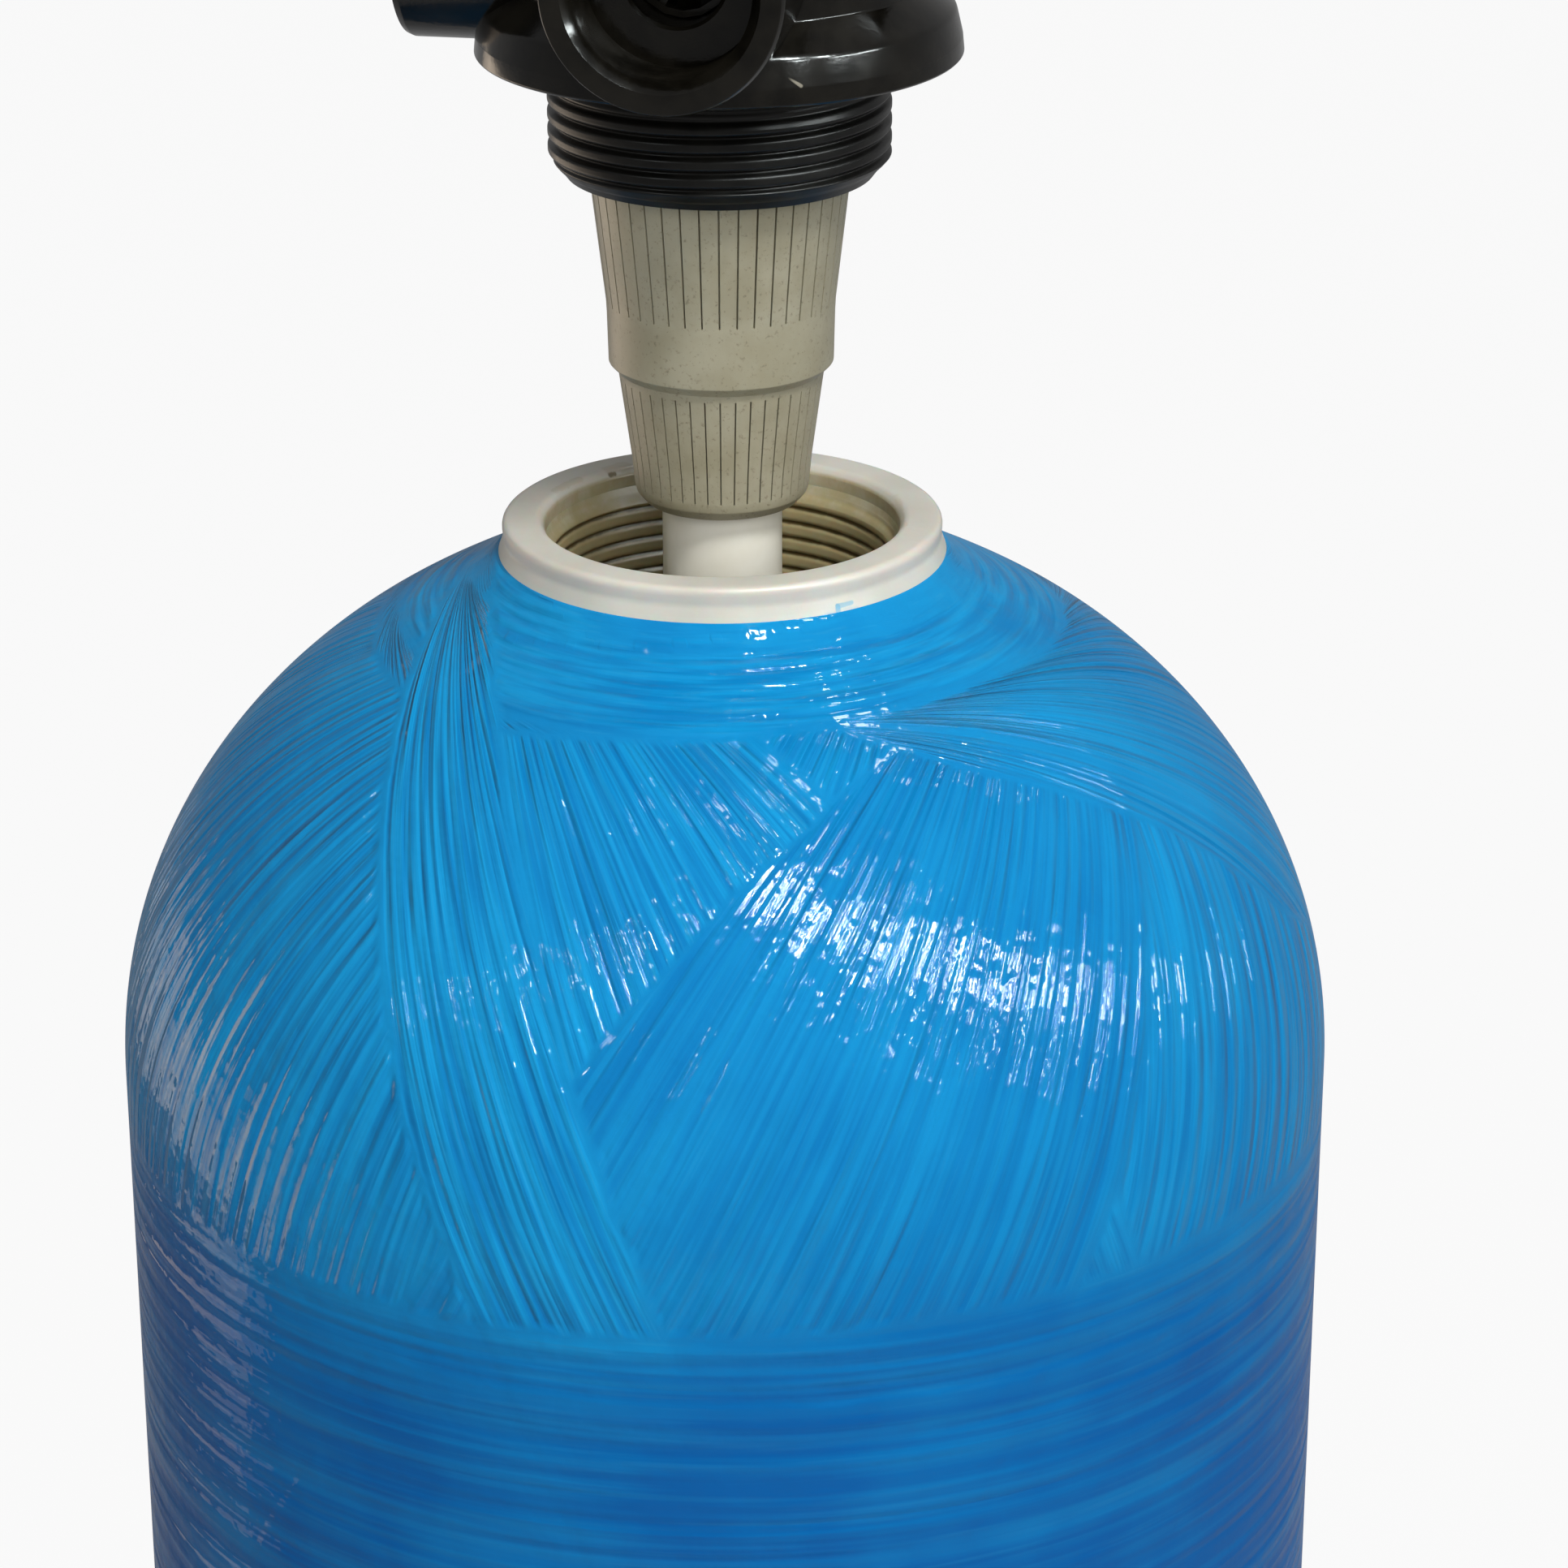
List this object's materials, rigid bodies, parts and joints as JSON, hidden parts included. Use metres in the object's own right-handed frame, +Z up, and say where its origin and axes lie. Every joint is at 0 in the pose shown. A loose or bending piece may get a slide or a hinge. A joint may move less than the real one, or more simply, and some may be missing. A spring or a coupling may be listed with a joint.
{
  "type": "water softener",
  "caption": "Tall fibre-wound softener tank with a threaded neck, riser and slotted distributors, and a black motorised control valve lifted clear of the neck.",
  "frame": {"origin": "centre of the tank base's foot, on the floor", "axes": "+Z up along the tank's axis, -Y towards the viewer; the front port points 10 degrees to the -X side of -Y"},
  "size_m": [0.425, 0.425, 2.0116],
  "materials": {
    "tank_blue": "gloss, wound fibre under resin",
    "neck_white": "satin moulding, stained in the thread",
    "base_black": "matte",
    "riser_white": "satin pipe",
    "distributor_beige": "matte moulding",
    "valve_black": "gloss moulding",
    "housing_black": "fine texture",
    "seal_rubber": "matte",
    "ceramic": "lapped ceramic",
    "inner_plastic": "natural",
    "steel": "plain",
    "board_green": "coated board",
    "window_smoke": "clear gloss",
    "button_grey": "matte"
  },
  "bodies": {
    "tank": {"tank_shell": "tank_blue", "neck_ring": "neck_white", "tank_base": "base_black"},
    "riser": {"riser_pipe": "riser_white", "lower_distributor_cap": "distributor_beige", "lower_distributor": "distributor_beige"},
    "valve": {"valve_body": "valve_black", "upper_distributor": "distributor_beige", "tank_seal": "seal_rubber", "riser_seal": "seal_rubber", "riser_seal_retainer": "inner_plastic", "disc_gasket": "seal_rubber", "fixed_disc": "ceramic", "bonnet": "valve_black", "bonnet_seal": "seal_rubber", "bonnet_screw_1": "steel", "bonnet_screw_2": "steel", "bonnet_screw_3": "steel", "bonnet_screw_4": "steel", "thrust_washer": "inner_plastic", "control_tray": "housing_black", "motor_bracket": "steel", "gear_motor": "steel", "control_cover": "housing_black", "display_window": "window_smoke", "control_board": "board_green", "injector_throat": "inner_plastic", "injector_nozzle": "inner_plastic", "injector_cap": "valve_black", "injector_screw_lower": "steel", "injector_screw_upper": "steel", "brine_fitting": "valve_black", "drain_flow_washer": "seal_rubber", "meter_spider": "inner_plastic"},
    "disc_drive": {"moving_disc": "ceramic", "disc_carrier": "inner_plastic", "drive_shaft": "inner_plastic", "drive_gear": "inner_plastic"},
    "pinion": {"motor_pinion": "inner_plastic"},
    "meter": {"meter_turbine": "inner_plastic"},
    "key_1": {"button_1": "button_grey"},
    "key_2": {"button_2": "button_grey"},
    "key_3": {"button_3": "button_grey"},
    "key_4": {"button_4": "button_grey"}
  },
  "joints": [
    {"name": "riser_slide", "type": "slide", "parent": "tank", "child": "riser", "axis": [0, 0, 1], "range_m": [-0.1575, 1.5]},
    {"name": "valve_spin", "type": "hinge", "parent": "riser", "child": "valve", "pos_m": [0, 0, 1.809], "axis": [0, 0, 1], "continuous": true},
    {"name": "disc_drive_spin", "type": "hinge", "parent": "valve", "child": "disc_drive", "pos_m": [0, 0, 1.912], "axis": [0, 0, 1], "continuous": true},
    {"name": "pinion_spin", "type": "hinge", "parent": "valve", "child": "pinion", "pos_m": [0.00729, 0.04136, 1.932], "axis": [0, 0, 1], "continuous": true},
    {"name": "turbine_spin", "type": "hinge", "parent": "valve", "child": "meter", "pos_m": [-0.00868, -0.04924, 1.849], "axis": [-0.1736, -0.9848, 0], "continuous": true},
    {"name": "key_1_press", "type": "slide", "parent": "valve", "child": "key_1", "axis": [0.1736, 0.9848, 0], "range_m": [0, 0.0012], "stiffness_N_per_m": 300},
    {"name": "key_2_press", "type": "slide", "parent": "valve", "child": "key_2", "axis": [0.1736, 0.9848, 0], "range_m": [0, 0.0012], "stiffness_N_per_m": 300},
    {"name": "key_3_press", "type": "slide", "parent": "valve", "child": "key_3", "axis": [0.1736, 0.9848, 0], "range_m": [0, 0.0012], "stiffness_N_per_m": 300},
    {"name": "key_4_press", "type": "slide", "parent": "valve", "child": "key_4", "axis": [0.1736, 0.9848, 0], "range_m": [0, 0.0012], "stiffness_N_per_m": 300}
  ],
  "couplings": [
    {"joint": "pinion_spin", "follows": "disc_drive_spin", "ratio": -2.6667}
  ]
}
